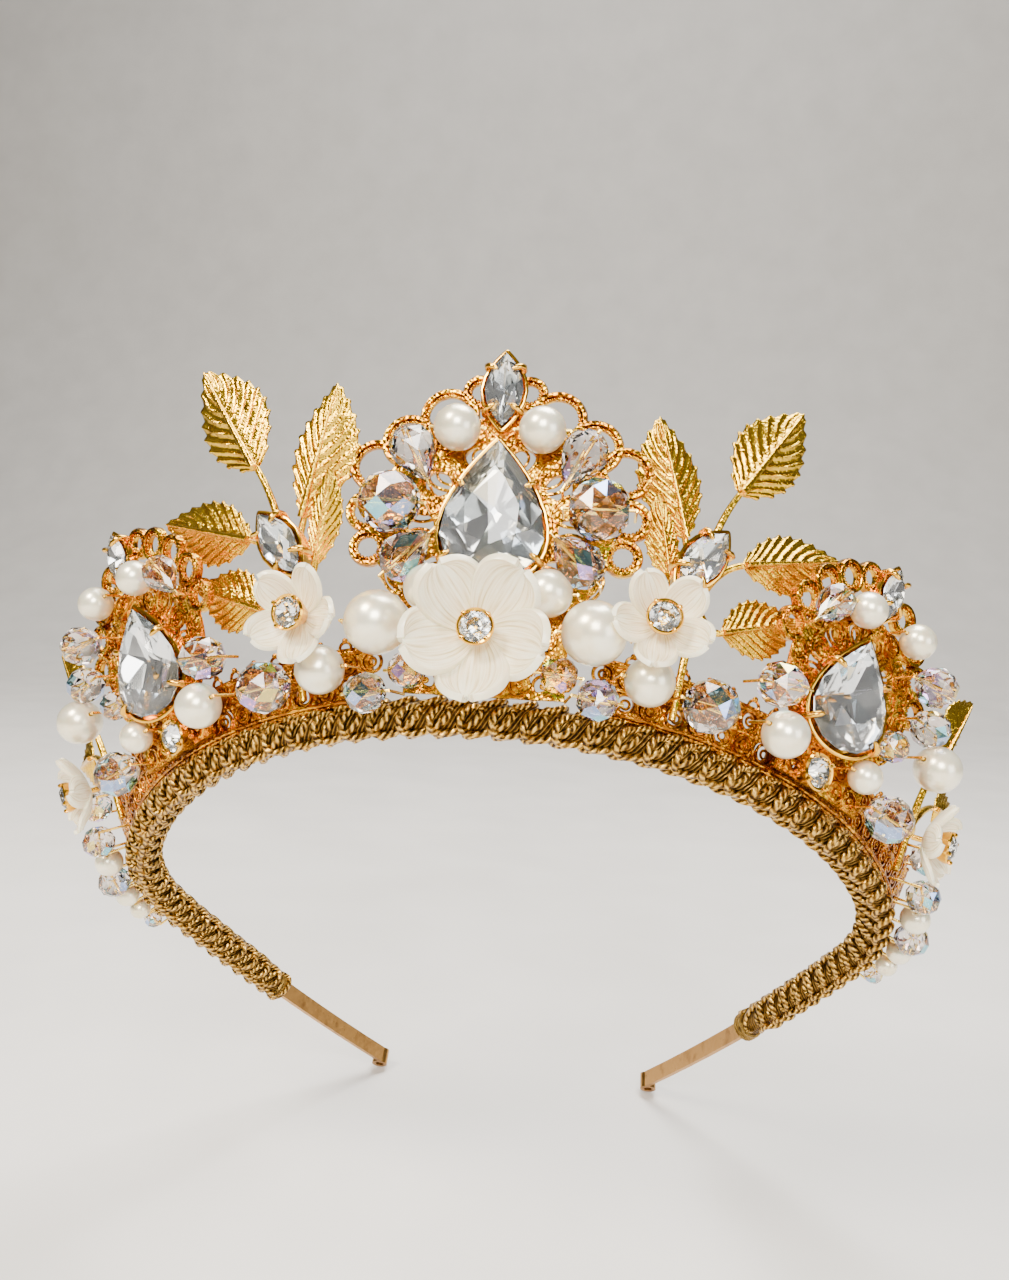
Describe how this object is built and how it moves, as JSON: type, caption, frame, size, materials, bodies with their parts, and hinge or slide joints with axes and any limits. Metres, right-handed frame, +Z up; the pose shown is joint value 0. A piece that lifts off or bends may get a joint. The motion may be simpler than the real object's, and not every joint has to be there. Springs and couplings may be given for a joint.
{
  "type": "bridal tiara",
  "caption": "Hair ornament: a braided headband with filigree fans, gilt leaf sprays, set stones, carved flowers, pearls and cut beads along its front.",
  "frame": {"origin": "centre of the band's front arc, where the centre of the head sits", "axes": "+Z up as worn, -Y towards the forehead, +X to the right seen from the front; the band's plane falls 45 degrees towards the back"},
  "size_m": [0.152, 0.0997, 0.1345],
  "materials": {
    "brass_strip": "plain drawn strip, lightly tarnished",
    "gimp_braid": "metallic yarn gimp, antique gold",
    "gilt_filigree": "bright gold plate on stamped brass",
    "gilt_leaf": "bright gold plate, textured",
    "gilt_setting": "gold plate, polished",
    "foiled_stone": "cut glass with a silver foil back",
    "carved_shell": "carved mother-of-pearl, satin polish",
    "glass_pearl": "pearl lacquer on glass beads",
    "blush_crystal": "cut glass with a rainbow half coating",
    "gilt_wire": "drawn gold-plated wire"
  },
  "bodies": {
    "root": {"headband": "brass_strip", "braid_trim": "gimp_braid", "lace_strip_left": "gilt_filigree", "lace_strip_right": "gilt_filigree", "filigree_centre": "gilt_filigree", "filigree_left": "gilt_filigree", "filigree_right": "gilt_filigree", "pear_stone_centre": "foiled_stone", "pear_stone_left": "foiled_stone", "pear_stone_right": "foiled_stone", "pear_setting_centre": "gilt_setting", "pear_setting_left": "gilt_setting", "pear_setting_right": "gilt_setting", "top_navette_stone_centre": "foiled_stone", "top_navette_stone_left": "foiled_stone", "top_navette_stone_right": "foiled_stone", "top_navette_setting_centre": "gilt_setting", "top_navette_setting_left": "gilt_setting", "top_navette_setting_right": "gilt_setting", "spray_navette_stone_left": "foiled_stone", "spray_navette_stone_right": "foiled_stone", "spray_navette_setting_left": "gilt_setting", "spray_navette_setting_right": "gilt_setting", "flower_centre": "carved_shell", "flower_left": "carved_shell", "flower_right": "carved_shell", "outer_flower_left": "carved_shell", "outer_flower_right": "carved_shell", "flower_stones": "foiled_stone", "flower_cups": "gilt_setting", "side_chaton_stones": "foiled_stone", "side_chaton_cups": "gilt_setting", "leaf_spray_left": "gilt_leaf", "leaf_spray_right": "gilt_leaf", "outer_leaves_left": "gilt_leaf", "outer_leaves_right": "gilt_leaf", "large_pearls": "glass_pearl", "fan_pearls_centre": "glass_pearl", "fan_drops_centre": "blush_crystal", "fan_rounds_centre": "blush_crystal", "base_crystals": "blush_crystal", "base_pearls": "glass_pearl", "side_pearls_left": "glass_pearl", "side_pearls_right": "glass_pearl", "side_drops_left": "blush_crystal", "side_drops_right": "blush_crystal", "side_crystals_left": "blush_crystal", "side_crystals_right": "blush_crystal", "tail_pearls_left": "glass_pearl", "tail_pearls_right": "glass_pearl", "tail_crystals_left": "blush_crystal", "tail_crystals_right": "blush_crystal", "wires_centre": "gilt_wire", "wires_left": "gilt_wire", "wires_right": "gilt_wire", "base_wires": "gilt_wire"}
  },
  "joints": []
}
